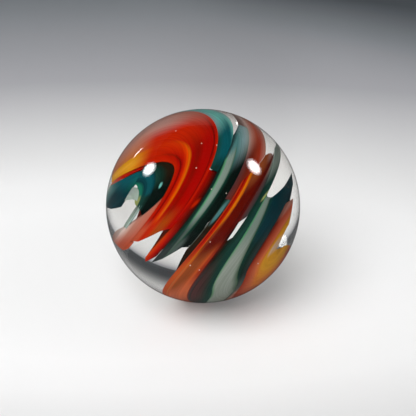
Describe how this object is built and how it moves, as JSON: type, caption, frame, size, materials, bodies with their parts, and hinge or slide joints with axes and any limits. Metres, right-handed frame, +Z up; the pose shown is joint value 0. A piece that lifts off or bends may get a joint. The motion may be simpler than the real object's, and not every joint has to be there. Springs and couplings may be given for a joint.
{
  "type": "glass marble",
  "caption": "Clear glass ball with bowed ribbons of red, amber, teal, sage and dark green glass twisted through its front.",
  "frame": {"origin": "centre of the ball", "axes": "+Z is up as the marble was pictured; -Y is the side that faced the camera, with the eye of the swirl on its left; the cane that the ribbons twist along leans 28 degrees from +Z towards -X"},
  "size_m": [0.025, 0.025, 0.025],
  "materials": {
    "clear_glass": "polished clear glass",
    "red_glass": "dense orange-red glass",
    "amber_glass": "yellow amber glass",
    "teal_glass": "dark teal glass",
    "sage_glass": "pale milky green glass",
    "green_glass": "very dark green glass"
  },
  "bodies": {
    "root": {"clear_glass": "clear_glass", "red_glass": "red_glass", "amber_glass": "amber_glass", "teal_glass": "teal_glass", "sage_glass": "sage_glass", "green_glass": "green_glass"}
  },
  "joints": []
}
